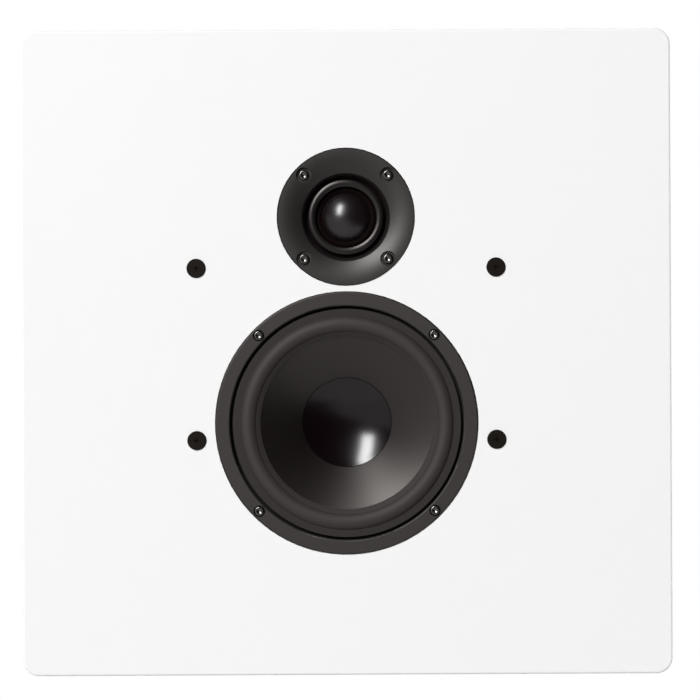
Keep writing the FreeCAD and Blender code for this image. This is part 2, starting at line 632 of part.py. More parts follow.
window_end = spider_depth - BASKET_WINDOW_MARGIN
window_outline = [(spider_seat_radius, window_top), (woofer_radius, window_top),
                  (woofer_radius, window_end), (spider_seat_radius, window_end)]
window = turned(window_outline, WOOFER, window_angle)
cuts = []
for index in range(BASKET_WINDOWS):
    opening = window.copy()
    first_angle = 360 / BASKET_WINDOWS * index - window_angle / 2
    opening.rotate(place(WOOFER[0], 0, WOOFER[1]), BACKWARD, first_angle)
    cuts.append(opening)
for point in woofer_screw_places:
    cuts.append(rod(point, WOOFER_COUNTERBORE_RADIUS, -1, COUNTERBORE_DEPTH))
    cuts.append(rod(point, pilot_radius, -1, WOOFER_FLANGE_THICKNESS + 1))
parts["woofer_basket"] = basket.cut(cuts)

gasket = tube(WOOFER, woofer_hole, woofer_radius - FLUSH_GAP, WOOFER_FLANGE_THICKNESS, woofer_rebate_depth)
pilots = [rod(point, pilot_radius, 0, BAFFLE_THICKNESS) for point in woofer_screw_places]
parts["woofer_gasket"] = gasket.cut(pilots)

# Surround: sloping flap glued to the cone, half roll and flat landing on the ledge
surround_front = WOOFER_LEDGE_DEPTH - SURROUND_THICKNESS - GLUE_GAP
surround_back = surround_front + SURROUND_THICKNESS
roll_middle = (roll_outer_radius + roll_inner_radius) / 2
roll_front, roll_back = half_roll(roll_middle, SURROUND_ROLL_WIDTH / 2, SURROUND_ROLL_HEIGHT,
                                  SURROUND_THICKNESS, surround_front)
outline = [(flap_inner_radius, surround_back + SURROUND_FLAP_DROP),
           (flap_inner_radius, surround_front + SURROUND_FLAP_DROP)] + roll_front
outline += [(surround_outer_radius, surround_front), (surround_outer_radius, surround_back)] + roll_back
outline.append((roll_inner_radius, surround_back))
parts["woofer_surround"] = turned(outline, WOOFER)

# Cone: rim under the flap, slightly bulging wall and a short neck round the coil former
cone_edge = flap_inner_radius - GLUE_GAP
cone_outer_depth = WOOFER_LEDGE_DEPTH + SURROUND_FLAP_DROP * CONE_THICKNESS / SURROUND_FLAP
slope = CONE_DEPTH / (cone_edge - neck_radius)
wall_depth = CONE_THICKNESS * math.hypot(1, slope)
cone_middle = ((cone_edge + neck_radius) / 2, cone_rim_depth + CONE_DEPTH / 2 - CONE_BULGE)
back_edge = cone_edge - CONE_THICKNESS / 2
back_neck = neck_radius + CONE_THICKNESS
back_neck_depth = neck_depth - CONE_THICKNESS * slope + wall_depth
outline = [(cone_outer_radius, cone_outer_depth), (cone_edge, cone_rim_depth),
           (cone_middle[0], cone_middle[1], neck_radius, neck_depth), (neck_radius, neck_depth + CONE_NECK),
           (back_neck, neck_depth + CONE_NECK), (back_neck, back_neck_depth),
           (cone_middle[0], cone_middle[1] + wall_depth, back_edge, cone_rim_depth + CONE_THICKNESS),
           (cone_outer_radius, cone_outer_depth + CONE_THICKNESS)]
parts["woofer_cone"] = turned(outline, WOOFER)


# Depth of the cone's front at a radius, on the circle through its edge, middle and neck
def cone_front(radius):
    circle = Part.Arc(FreeCAD.Vector(cone_edge, cone_rim_depth, 0),
                      FreeCAD.Vector(cone_middle[0], cone_middle[1], 0),
                      FreeCAD.Vector(neck_radius, neck_depth, 0)).toShape().Curve
    return circle.Center.y - math.sqrt(circle.Radius ** 2 - (radius - circle.Center.x) ** 2)


# Hollow cap standing on the cone
cap_back = cone_front(cap_radius) - GLUE_GAP
cap_front = cap_back - CAP_THICKNESS
cap_middle, cap_rise = crown_middle(cap_radius, CAP_SAG)
outline = [(0, cap_front + CAP_SAG), (cap_middle, cap_front + cap_rise, cap_radius, cap_front),
           (cap_radius, cap_back), (cap_middle, cap_back + cap_rise, 0, cap_back + CAP_SAG)]
parts["woofer_dust_cap"] = turned(outline, WOOFER)

coil_end = woofer_coil_middle + woofer_coil_half
parts["woofer_former"] = tube(WOOFER, former_inner_radius, former_outer_radius, neck_depth, coil_end)
parts["woofer_voice_coil"] = tube(WOOFER, former_outer_radius + GLUE_GAP, coil_outer_radius,
                                  woofer_coil_middle - woofer_coil_half, coil_end)

# Spider: neck on the former, corrugations and a flat landing on the basket's seat
wave_start = neck_radius + CONE_NECK
wave_step = (spider_seat_radius - wave_start) / SPIDER_HALF_WAVES
spider_front = spider_depth - GLUE_GAP
spider_back = spider_front + SPIDER_THICKNESS
front = [(neck_radius, spider_front), (wave_start, spider_front)]
back = [(wave_start, spider_back), (neck_radius, spider_back)]
for index in range(SPIDER_HALF_WAVES):
    start = wave_start + index * wave_step
    wave = SPIDER_WAVE_HEIGHT * (1 if index % 2 else -1)
    front.append((start + wave_step / 2, spider_front + wave, start + wave_step, spider_front))
    back[0] = (start + wave_step / 2, spider_back + wave, start, spider_back)
    back.insert(0, (start + wave_step, spider_back))
outline = front + [(spider_radius, spider_front), (spider_radius, spider_back)] + back
parts["woofer_spider"] = turned(outline, WOOFER)

# Woofer motor: front plate, ring magnet, and back plate with its vented pole
gap_radius = coil_outer_radius + COIL_CLEARANCE
pole_radius = former_inner_radius - COIL_CLEARANCE
parts["woofer_top_plate"] = tube(WOOFER, gap_radius, woofer_plate_radius,
                                 woofer_motor_depth, woofer_magnet_depth)
parts["woofer_magnet"] = tube(WOOFER, WOOFER_MAGNET_BORE_RADIUS, WOOFER_MAGNET_RADIUS,
                              woofer_magnet_depth, woofer_yoke_depth)
outline = [(WOOFER_VENT_RADIUS, woofer_motor_depth), (pole_radius - POLE_CHAMFER, woofer_motor_depth),
           (pole_radius, woofer_motor_depth + POLE_CHAMFER), (pole_radius, woofer_yoke_depth),
           (woofer_plate_radius, woofer_yoke_depth), (woofer_plate_radius, woofer_depth - POLE_CHAMFER),
           (woofer_plate_radius - POLE_CHAMFER, woofer_depth), (WOOFER_VENT_RADIUS, woofer_depth)]
parts["woofer_yoke"] = turned(outline, WOOFER)

# Woofer connections on the motor foot: insulator, two tabs, and the leads to the cone
board_x = WOOFER[0] + basket_foot_radius
foot_front = spider_depth + BASKET_WALL
foot_end = woofer_motor_depth - GLUE_GAP
wall_slope = (basket_body_radius - basket_foot_radius) / (foot_front - wall_top)
tinsel_x = board_x + wall_slope * (foot_front - window_end) + 2 * TINSEL_RADIUS
tab_x = tinsel_x + TINSEL_RADIUS + TERMINAL_BOARD_MARGIN
insulator = block(board_x - TERMINAL_BOARD_MARGIN, tab_x, foot_front, foot_end,
                  WOOFER[1] - TERMINAL_BOARD_WIDTH / 2, WOOFER[1] + TERMINAL_BOARD_WIDTH / 2)
parts["woofer_terminal_board"] = insulator.cut(rod(WOOFER, basket_foot_radius + GLUE_GAP, 0, CABINET_DEPTH))
tab_depth = (foot_front + foot_end) / 2
tab_places = [WOOFER[1] - TAB_PITCH / 2, WOOFER[1] + TAB_PITCH / 2]
tabs = []
for z in tab_places:
    tabs.append(block(tab_x, tab_x + TAB_LENGTH, tab_depth - TAB_THICKNESS / 2, tab_depth + TAB_THICKNESS / 2,
                      z - TAB_WIDTH / 2, z + TAB_WIDTH / 2))
parts["woofer_tabs"] = group(tabs)
tinsel_back = cone_front(TINSEL_CONE_RADIUS) + wall_depth + TINSEL_RADIUS
tinsel_turn = window_end - BASKET_WINDOW_MARGIN
tinsels = []
for z in tab_places:
    route = [place(tinsel_x, foot_front - GLUE_GAP, z), place(tinsel_x, tinsel_turn, z),
             place(WOOFER[0] + TINSEL_CONE_RADIUS + CONE_NECK, tinsel_back + CONE_NECK, z)]
    tinsels.append(lead(route, TINSEL_RADIUS, LEAD_BEND / 2))
parts["woofer_tinsel_leads"] = group(tinsels)

parts["woofer_screws"] = group([driver_screw(point, COUNTERBORE_DEPTH) for point in woofer_screw_places])

# Tweeter faceplate: flat edge, flare, rounded lip, steep throat, a seat for the dome's flange,
# and a boss that carries the motor
flare_start = (tweeter_radius - TWEETER_FLAT_EDGE, 0)
mouth = (tweeter_mouth_radius, TWEETER_MOUTH_DEPTH)
throat_edge = (tweeter_throat_radius, TWEETER_THROAT_DEPTH)
lip_end = (tweeter_mouth_radius - TWEETER_LIP_WIDTH, TWEETER_MOUTH_DEPTH + TWEETER_LIP_DEPTH)
flare, flare_way = smooth_arc(flare_start, (-1, 0), mouth)
lip = smooth_arc(mouth, flare_way, lip_end)[0]
outline = [(tweeter_radius, TWEETER_FACE_THICKNESS), (tweeter_radius, TWEETER_EDGE_ROUND),
           (tweeter_radius - TWEETER_EDGE_ROUND, 0), flare_start, flare, lip, throat_edge,
           (tweeter_throat_radius, dome_clamp_depth), (dome_seat_radius, dome_clamp_depth),
           (dome_seat_radius, TWEETER_BODY_DEPTH), (tweeter_boss_radius, TWEETER_BODY_DEPTH),
           (tweeter_boss_radius, TWEETER_FACE_THICKNESS)]
cuts = []
for point in tweeter_screw_places:
    cuts.append(rod(point, TWEETER_COUNTERBORE_RADIUS, -1, COUNTERBORE_DEPTH))
    cuts.append(rod(point, pilot_radius, -1, TWEETER_FACE_THICKNESS + 1))
parts["tweeter_faceplate"] = turned(outline, TWEETER).cut(cuts)

gasket = tube(TWEETER, tweeter_hole, tweeter_radius - FLUSH_GAP,
              TWEETER_FACE_THICKNESS, tweeter_rebate_depth)
pilots = [rod(point, pilot_radius, 0, BAFFLE_THICKNESS) for point in tweeter_screw_places]
parts["tweeter_gasket"] = gasket.cut(pilots)

# Crowned ring that clamps the dome's flange
ring_crest = dome_clamp_depth - CLAMP_RING_HEIGHT
ring_shoulder = ring_crest + CLAMP_RING_CROWN
ring_middle = (clamp_inner_radius + clamp_outer_radius) / 2
outline = [(clamp_inner_radius, dome_clamp_depth), (clamp_inner_radius, ring_shoulder),
           (ring_middle, ring_crest, clamp_outer_radius, ring_shoulder),
           (clamp_outer_radius, dome_clamp_depth)]
parts["tweeter_clamp_ring"] = turned(outline, TWEETER)

# Dome, roll and flange in one skin
dome_sphere = (dome_radius ** 2 + DOME_HEIGHT ** 2) / (2 * DOME_HEIGHT)
dome_centre = dome_depth - DOME_HEIGHT + dome_sphere
inner_sphere = dome_sphere - DOME_THICKNESS
dome_back_radius = math.sqrt(inner_sphere ** 2 - (dome_centre - TWEETER_BODY_DEPTH) ** 2)
outer_middle, outer_rise = crown_middle(dome_radius, DOME_HEIGHT)
inner_middle, inner_rise = crown_middle(dome_back_radius, DOME_HEIGHT)
roll_front, roll_back = half_roll(dome_roll_radius, DOME_ROLL_WIDTH / 2, DOME_ROLL_HEIGHT,
                                  DOME_THICKNESS, dome_depth)
dome_apex = dome_depth - DOME_HEIGHT
outline = [(0, dome_apex), (outer_middle, dome_depth - outer_rise, dome_radius, dome_depth)] + roll_front[1:]
outline += [(dome_flange_radius, dome_depth), (dome_flange_radius, TWEETER_BODY_DEPTH)] + roll_back
outline += [(dome_back_radius, TWEETER_BODY_DEPTH),
            (inner_middle, TWEETER_BODY_DEPTH - inner_rise, 0, dome_apex + DOME_THICKNESS)]
parts["tweeter_dome"] = turned(outline, TWEETER)

# Tweeter coil and motor
tweeter_former_inner = dome_back_radius
tweeter_former_outer = tweeter_former_inner + TWEETER_FORMER_THICKNESS
former_front = TWEETER_BODY_DEPTH + GLUE_GAP
former_end = former_front + TWEETER_FORMER_LENGTH
coil_inner = tweeter_former_outer + GLUE_GAP
coil_outer = coil_inner + TWEETER_COIL_THICKNESS
parts["tweeter_former"] = tube(TWEETER, tweeter_former_inner, tweeter_former_outer, former_front, former_end)
parts["tweeter_voice_coil"] = tube(TWEETER, coil_inner, coil_outer,
                                   former_end - TWEETER_COIL_HEIGHT, former_end)
plate_bore = coil_outer + TWEETER_GAP_CLEARANCE
parts["tweeter_top_plate"] = tube(TWEETER, plate_bore, tweeter_plate_radius,
                                  TWEETER_BODY_DEPTH, tweeter_magnet_depth)
parts["tweeter_magnet"] = tube(TWEETER, plate_bore + TWEETER_BORE_STEP, tweeter_magnet_radius,
                               tweeter_magnet_depth, tweeter_yoke_depth)
pole_radius = tweeter_former_inner - TWEETER_GAP_CLEARANCE
outline = [(TWEETER_VENT_RADIUS, TWEETER_BODY_DEPTH), (pole_radius - POLE_CHAMFER, TWEETER_BODY_DEPTH),
           (pole_radius, TWEETER_BODY_DEPTH + POLE_CHAMFER), (pole_radius, tweeter_yoke_depth),
           (tweeter_yoke_radius, tweeter_yoke_depth), (tweeter_yoke_radius, tweeter_chamber_depth),
           (TWEETER_VENT_RADIUS, tweeter_chamber_depth)]
parts["tweeter_yoke"] = turned(outline, TWEETER)
chamber_end = tweeter_chamber_depth + REAR_CHAMBER_DEPTH
chamber = rod(TWEETER, rear_chamber_radius, tweeter_chamber_depth, chamber_end)
hollow = rod(TWEETER, rear_chamber_radius - REAR_CHAMBER_WALL,
             tweeter_chamber_depth, chamber_end - REAR_CHAMBER_WALL)
parts["tweeter_rear_chamber"] = chamber.cut(hollow)

# Tweeter connections beside the rear chamber
strip_x = TWEETER[0] + (rear_chamber_radius + tweeter_yoke_radius) / 2
strip_end = tweeter_chamber_depth + TWEETER_TERMINAL_HEIGHT
strip_half = TAB_WIDTH / 2
parts["tweeter_terminal_board"] = block(strip_x - strip_half, strip_x + strip_half,
                                        tweeter_chamber_depth, strip_end,
                                        TWEETER[1] - TAB_PITCH, TWEETER[1] + TAB_PITCH)
tweeter_tab_places = [TWEETER[1] - TAB_PITCH / 2, TWEETER[1] + TAB_PITCH / 2]
tabs = []
for z in tweeter_tab_places:
    tabs.append(block(strip_x - TAB_THICKNESS / 2, strip_x + TAB_THICKNESS / 2,
                      strip_end, strip_end + TAB_LENGTH,
                      z - TAB_WIDTH / 2, z + TAB_WIDTH / 2))
parts["tweeter_tabs"] = group(tabs)
parts["tweeter_screws"] = group([driver_screw(point, COUNTERBORE_DEPTH) for point in tweeter_screw_places])

# Discs for the cloth front, each let into the front on one countersunk screw
outline = [(0, disc_seat_depth), (0, -DISC_PROUD), (disc_radius - DISC_ROUND, -DISC_PROUD),
           (disc_radius, DISC_ROUND - DISC_PROUD), (disc_radius, disc_seat_depth)]
disc_holes = wood_screw_holes(disc_places, -DISC_PROUD, 1)
discs = [turned(outline, point).cut(hole) for point, hole in zip(disc_places, disc_holes)]
parts["grille_discs"] = group(discs)
parts["grille_disc_screws"] = wood_screws(disc_places, -DISC_PROUD, 1)

# Terminal cup: flange let into the back panel and a tapering recess
cup_floor = CABINET_DEPTH - CUP_DEPTH
flange_front = CABINET_DEPTH - CUP_FLANGE_THICKNESS
mouth_size = (CUP_MOUTH_WIDTH, CUP_MOUTH_HEIGHT, CUP_MOUTH_RADIUS)
floor_size = (CUP_MOUTH_WIDTH - 2 * CUP_DRAFT, CUP_MOUTH_HEIGHT - 2 * CUP_DRAFT,
              CUP_MOUTH_RADIUS - CUP_DRAFT / 2)
growth = (2 * CUP_WALL, 2 * CUP_WALL, CUP_WALL)
outer_mouth = [size + more for size, more in zip(mouth_size, growth)]
outer_floor = [size + more for size, more in zip(floor_size, growth)]
inner = [rounded_outline(CUP, *floor_size, cup_floor), rounded_outline(CUP, *mouth_size, CABINET_DEPTH)]
outer = [rounded_outline(CUP, *outer_floor, cup_floor - CUP_WALL),
         rounded_outline(CUP, *outer_mouth, flange_front)]
flange = plate(CUP, CUP_FLANGE_WIDTH, CUP_FLANGE_HEIGHT, CUP_FLANGE_RADIUS, flange_front, CABINET_DEPTH)
cup = flange.fuse(Part.makeLoft(outer, True, True))
cuts = [Part.makeLoft(inner, True, True)]
cuts += [rod(point, POST_TAIL_RADIUS + SCREW_CLEARANCE, 0, CABINET_DEPTH) for point in post_places]
cuts += wood_screw_holes(cup_screw_places, CABINET_DEPTH, -1)
parts["terminal_cup"] = cup.cut(cuts)
parts["terminal_screws"] = wood_screws(cup_screw_places, CABINET_DEPTH, -1)

# Binding posts: threaded stem with a plug socket, a loose washer and a fluted knob
collar_end = cup_floor + POST_COLLAR_HEIGHT
post_end = collar_end + POST_LENGTH
washer_end = collar_end + WASHER_THICKNESS
knob_end = washer_end + KNOB_LENGTH
nut_back = cup_floor - CUP_WALL - TAG_THICKNESS
tail_end = nut_back - POST_NUT_HEIGHT - POST_TAIL_STUB
sleeve_radius = POST_RADIUS + KNOB_CLEARANCE
nuts = []
tags = []
for colour, point in zip(("red", "black"), post_places):
    outline = [(0, tail_end), (POST_TAIL_RADIUS, tail_end), (POST_TAIL_RADIUS, cup_floor),
               (POST_COLLAR_RADIUS, cup_floor), (POST_COLLAR_RADIUS, collar_end), (POST_RADIUS, collar_end),
               (POST_RADIUS, post_end - POST_TIP_EDGE), (POST_RADIUS - POST_TIP_EDGE, post_end),
               (POST_BORE_RADIUS, post_end),
               (POST_BORE_RADIUS, post_end - POST_BORE_DEPTH), (0, post_end - POST_BORE_DEPTH)]
    cross_depth = collar_end + POST_CROSS_HOLE_RADIUS + GLUE_GAP
    cross_start = place(point[0], cross_depth, point[1] - POST_COLLAR_RADIUS)
    cross_hole = Part.makeCylinder(POST_CROSS_HOLE_RADIUS, 2 * POST_COLLAR_RADIUS, cross_start, UPWARD)
    parts[colour + "_post"] = turned(outline, point).cut(cross_hole)
    parts[colour + "_washer"] = tube(point, sleeve_radius, WASHER_RADIUS, collar_end, washer_end)
    outline = [(sleeve_radius, washer_end), (KNOB_RADIUS - KNOB_EDGE, washer_end),
               (KNOB_RADIUS, washer_end + KNOB_EDGE), (KNOB_RADIUS, knob_end - KNOB_EDGE),
               (KNOB_RADIUS - KNOB_EDGE, knob_end), (sleeve_radius, knob_end)]
    flutes = [rod(place_on_rim, KNOB_FLUTE_RADIUS, washer_end + 2 * KNOB_EDGE, knob_end + 1)
              for place_on_rim in around(point, KNOB_RADIUS + KNOB_FLUTE_RADIUS / 2, KNOB_FLUTES, 0)]
    parts[colour + "_knob"] = turned(outline, point).cut(flutes)
    hole = rod(point, POST_TAIL_RADIUS + GLUE_GAP, 0, CABINET_DEPTH)
    nuts.append(hexagon(point, POST_NUT_ACROSS, nut_back - POST_NUT_HEIGHT, nut_back).cut(hole))
    eye = rod(point, TAG_RADIUS, nut_back, nut_back + TAG_THICKNESS)
    tongue = block(point[0] - POST_TAIL_RADIUS, point[0] + POST_TAIL_RADIUS,
                   nut_back, nut_back + TAG_THICKNESS, point[1], point[1] + TAG_REACH)
    tags.append(eye.fuse(tongue).removeSplitter().cut(hole))
parts["post_nuts"] = group(nuts)
parts["post_tags"] = group(tags)

# Keyhole plates let into the back panel
hanger_front = CABINET_DEPTH - HANGER_THICKNESS
hangers = []
for centre, entry in zip(hanger_centres, keyhole_places):
    hanger = plate(centre, HANGER_WIDTH, HANGER_HEIGHT, HANGER_RADIUS, hanger_front, CABINET_DEPTH)
    cuts = wood_screw_holes(hanger_screw_places, CABINET_DEPTH, -1)
    cuts.append(keyhole(entry, KEYHOLE_ENTRY_RADIUS, KEYHOLE_SLOT_RADIUS, KEYHOLE_TRAVEL,
                        inside_back, CABINET_DEPTH + 1))
    hangers.append(hanger.cut(cuts))
parts["hanger_plates"] = group(hangers)
parts["hanger_screws"] = wood_screws(hanger_screw_places, CABINET_DEPTH, -1)

# Crossover board on standoffs behind the right-hand wall
board_back = board_front + BOARD_THICKNESS
board_x0 = BOARD[0] - BOARD_WIDTH / 2
board_x1 = BOARD[0] + BOARD_WIDTH / 2
board_z0 = BOARD[1] - BOARD_HEIGHT / 2
board_z1 = BOARD[1] + BOARD_HEIGHT / 2
head_front = board_front - WOOD_SCREW_HEAD_HEIGHT
sheet = block(board_x0, board_x1, board_front, board_back, board_z0, board_z1)
holes = [rod(point, shank_hole, 0, CABINET_DEPTH) for point in board_screw_places]
parts["crossover_board"] = sheet.cut(holes)
parts["crossover_standoffs"] = group([tube(point, shank_hole, STANDOFF_RADIUS, board_back, inside_back)
                                      for point in board_screw_places])
tip = board_front + board_screw_length
outline = [(0, head_front), (WOOD_SCREW_HEAD_RADIUS, head_front), (WOOD_SCREW_HEAD_RADIUS, board_front),
           (WOOD_SCREW_RADIUS, board_front), (WOOD_SCREW_RADIUS, tip - WOOD_SCREW_RADIUS), (0, tip)]
parts["crossover_screws"] = group([turned(outline, point) for point in board_screw_places])

# Components on the board: a large coil below, the rest above it
coil_place = (BOARD[0], board_z0 + BASS_COIL_RADIUS + PAD_INSET)
coil_front = board_front - BASS_COIL_HEIGHT
core_radius = BASS_COIL_CORE_RADIUS + BOBBIN_WALL
outline = [(BASS_COIL_CORE_RADIUS, coil_front), (BASS_COIL_RADIUS, coil_front),
           (BASS_COIL_RADIUS, coil_front + BOBBIN_WALL), (core_radius, coil_front + BOBBIN_WALL),
           (core_radius, board_front - BOBBIN_WALL), (BASS_COIL_RADIUS, board_front - BOBBIN_WALL),
           (BASS_COIL_RADIUS, board_front), (BASS_COIL_CORE_RADIUS, board_front)]
parts["bass_coil_bobbin"] = turned(outline, coil_place)
parts["bass_coil_winding"] = tube(coil_place, core_radius + GLUE_GAP, BASS_COIL_RADIUS - BOBBIN_WALL,
                                  coil_front + BOBBIN_WALL, board_front - BOBBIN_WALL)
upper_row = coil_place[1] + BASS_COIL_RADIUS + PAD_INSET
treble_place = (board_x1 - TREBLE_COIL_RADIUS - PAD_INSET, upper_row + TREBLE_COIL_RADIUS)
parts["treble_coil"] = tube(treble_place, TREBLE_COIL_BORE_RADIUS, TREBLE_COIL_RADIUS,
                            board_front - TREBLE_COIL_HEIGHT, board_front)
bass_capacitor_x = board_x0 + PAD_INSET + BASS_CAPACITOR_RADIUS + PAD_PITCH / 2
standing_on = board_front - GLUE_GAP
foot = place(bass_capacitor_x, standing_on - BASS_CAPACITOR_RADIUS, upper_row)
bass_capacitor = Part.makeCylinder(BASS_CAPACITOR_RADIUS, BASS_CAPACITOR_LENGTH, foot, UPWARD)
top_row = upper_row + BASS_CAPACITOR_LENGTH + TREBLE_CAPACITOR_RADIUS + GLUE_GAP
foot = place(BOARD[0] - TREBLE_CAPACITOR_LENGTH / 2, standing_on - TREBLE_CAPACITOR_RADIUS, top_row)
treble_capacitor = Part.makeCylinder(TREBLE_CAPACITOR_RADIUS, TREBLE_CAPACITOR_LENGTH, foot, RIGHT)
parts["film_capacitors"] = group([bass_capacitor, treble_capacitor])
resistor_x = bass_capacitor_x + BASS_CAPACITOR_RADIUS + PAD_INSET
parts["power_resistor"] = block(resistor_x, resistor_x + RESISTOR_THICKNESS,
                                board_front - RESISTOR_THICKNESS, board_front,
                                upper_row, upper_row + RESISTOR_LENGTH)

# Leads from the cup to the board and from the board to both drivers
first_pad = board_z0 + PAD_START
pads = [place(board_x0 + PAD_INSET, standing_on, first_pad + PAD_PITCH * index) for index in range(6)]
rises = [pad - BACKWARD * (LEAD_RISE + LEAD_BEND) for pad in pads]
tag_ends = [place(x, nut_back - GLUE_GAP, z + TAG_REACH - POST_TAIL_RADIUS) for x, z in post_places]
leads = []
for tag, pad, rise in zip(tag_ends, (pads[1], pads[0]), (rises[1], rises[0])):
    leads.append(lead([tag, tag - BACKWARD * LEAD_RISE, rise, pad], LEAD_RADIUS, LEAD_BEND))
for z, pad, rise in zip(tab_places, pads[2:4], rises[2:4]):
    end = place(tab_x + TAB_LENGTH + GLUE_GAP, tab_depth, z)
    leads.append(lead([end, end + RIGHT * LEAD_RISE, rise, pad], LEAD_RADIUS, LEAD_BEND))
for z, pad, rise in zip(tweeter_tab_places, pads[4:], rises[4:]):
    end = place(strip_x, strip_end + TAB_LENGTH + GLUE_GAP, z)
    leads.append(lead([end, end + BACKWARD * LEAD_RISE, rise, pad], LEAD_RADIUS, LEAD_BEND))
parts["wiring_harness"] = group(leads)

os.makedirs("parts", exist_ok=True)
for name, shape in parts.items():
    shape.exportStep("parts/" + name + ".step")
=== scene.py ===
import json
import math

import bpy
import numpy as np
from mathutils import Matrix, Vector


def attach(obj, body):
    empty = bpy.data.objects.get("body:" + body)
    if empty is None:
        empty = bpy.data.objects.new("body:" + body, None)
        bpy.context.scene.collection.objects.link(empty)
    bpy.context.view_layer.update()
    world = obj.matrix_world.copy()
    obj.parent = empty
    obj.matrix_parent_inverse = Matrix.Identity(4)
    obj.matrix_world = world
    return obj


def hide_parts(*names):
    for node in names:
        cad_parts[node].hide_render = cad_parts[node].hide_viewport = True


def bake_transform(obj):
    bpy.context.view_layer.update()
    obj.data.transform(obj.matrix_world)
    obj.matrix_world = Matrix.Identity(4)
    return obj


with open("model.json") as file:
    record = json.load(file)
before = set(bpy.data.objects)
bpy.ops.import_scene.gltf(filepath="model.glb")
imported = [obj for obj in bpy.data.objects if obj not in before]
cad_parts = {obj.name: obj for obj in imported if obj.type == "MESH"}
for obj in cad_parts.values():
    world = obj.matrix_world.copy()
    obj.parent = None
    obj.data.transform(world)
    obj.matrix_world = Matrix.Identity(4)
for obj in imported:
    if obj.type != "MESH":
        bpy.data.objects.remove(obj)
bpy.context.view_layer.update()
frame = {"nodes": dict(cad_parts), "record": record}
nodes = frame["nodes"]

# Places in metres, in the frame of the solids: the front faces -Y and the wall is y = 0
FRONT = -0.095
WOOFER = (0.0, -0.048)
TWEETER = (0.0, 0.0916)

# Inner and outer radius, round a driver's axis, of the roll with painted light, the groove with painted
# shade and the coated crown of the dome
ROLL = (0.0612, 0.0725)
GROOVE = (0.0772, 0.0792)
DOME_CROWN = (-0.0164, 0.0164)

CAMERA_DISTANCE = 2.2
CAMERA_SHIFT = (0.0024, 0.0014)
CAMERA_ROLL = 0.28
FRAME_WIDTH = 0.4738
SENSOR_WIDTH = 36.0

FLOOR_HEIGHT = -0.75
FLOOR_RADIUS = 1.6
FLOOR_CORNERS = 64


# A shader node with its plain inputs filled in
def add(tree, kind, **values):
    node = tree.nodes.new(kind)
    for key, value in values.items():
        if key in node.inputs:
            node.inputs[key].default_value = value
        else:
            setattr(node, key, value)
    return node


def join(tree, source, output, target, name):
    tree.links.new(source.outputs[output], target.inputs[name])


# Two outputs put together by a sum, a product or the larger of both
def combine(tree, operation, first, first_output, second, second_output):
    node = add(tree, "ShaderNodeMath", operation=operation)
    join(tree, first, first_output, node, 0)
    join(tree, second, second_output, node, 1)
    return node


# A smooth step from the first result to the second between two ends
def smooth_step(tree, source, output, ends, results=(0.0, 1.0)):
    step = add(tree, "ShaderNodeMapRange", interpolation_type="SMOOTHSTEP")
    step.inputs["From Min"].default_value = ends[0]
    step.inputs["From Max"].default_value = ends[1]
    step.inputs["To Min"].default_value = results[0]
    step.inputs["To Max"].default_value = results[1]
    join(tree, source, output, step, "Value")
    return step


# Noise over the object's own coordinates, with a size in cycles per metre
def noise(tree, size, detail):
    place = add(tree, "ShaderNodeTexCoord")
    texture = add(tree, "ShaderNodeTexNoise", Scale=size, Detail=detail, Roughness=0.55)
    join(tree, place, "Object", texture, "Vector")
    return texture


finishes = {}


# A surface with uneven colour, uneven gloss and a fine relief
def surface(name, colour, roughness, metallic=0.0, specular=0.5, patch=40.0, spread=0.06, gloss_spread=0.05,
            grain=1500.0, relief=0.00001, strength=0.4, gloss_tint=(1.0, 1.0, 1.0)):
    material = bpy.data.materials.new(name)
    material.use_nodes = True
    tree = material.node_tree
    shader = tree.nodes["Principled BSDF"]
    shader.inputs["Metallic"].default_value = metallic
    shader.inputs["Specular IOR Level"].default_value = specular
    shader.inputs["Specular Tint"].default_value = gloss_tint + (1.0,)
    blotch = noise(tree, patch, detail=3.0)
    tint = add(tree, "ShaderNodeMix", data_type="RGBA")
    tint.inputs[6].default_value = [value * (1 - spread) for value in colour] + [1.0]
    tint.inputs[7].default_value = [min(1.0, value * (1 + spread)) for value in colour] + [1.0]
    join(tree, blotch, "Fac", tint, 0)
    join(tree, tint, 2, shader, "Base Color")
    fine = noise(tree, grain, detail=2.0)
    gloss = add(tree, "ShaderNodeMapRange")
    gloss.inputs["To Min"].default_value = max(0.02, roughness - gloss_spread)
    gloss.inputs["To Max"].default_value = roughness + gloss_spread
    join(tree, fine, "Fac", gloss, "Value")
    join(tree, gloss, "Result", shader, "Roughness")
    bump = add(tree, "ShaderNodeBump", Strength=strength, Distance=relief)
    join(tree, fine, "Fac", bump, "Height")
    join(tree, bump, "Normal", shader, "Normal")
    finishes[name] = material


# Relief laid over the relief that a surface has
def add_relief(material, height, output, relief, strength):
    tree = material.node_tree
    shader = tree.nodes["Principled BSDF"]
    under = shader.inputs["Normal"].links[0].from_node
    bump = add(tree, "ShaderNodeBump", Strength=strength, Distance=relief)
    join(tree, height, output, bump, "Height")
    join(tree, under, "Normal", bump, "Normal")
    join(tree, bump, "Normal", shader, "Normal")


# Object coordinates counted from a driver's axis, with or without the depth along it
def from_axis(tree, centre, depth):
    place = add(tree, "ShaderNodeTexCoord")
    shift = add(tree, "ShaderNodeMapping")
    shift.inputs["Location"].default_value = (-centre[0], 0.0, -centre[1])
    shift.inputs["Scale"].default_value = (1.0, depth, 1.0)
    join(tree, place, "Object", shift, "Vector")
    return shift


# Concentric lines round a driver's axis
def add_rings(material, centre, size, relief, strength):
    tree = material.node_tree
    shift = from_axis(tree, centre, 1.0)
    wave = add(tree, "ShaderNodeTexWave", wave_type="RINGS", rings_direction="Y", Scale=size, Distortion=0.4)
    join(tree, shift, "Vector", wave, "Vector")
    add_relief(material, wave, "Fac", relief, strength)


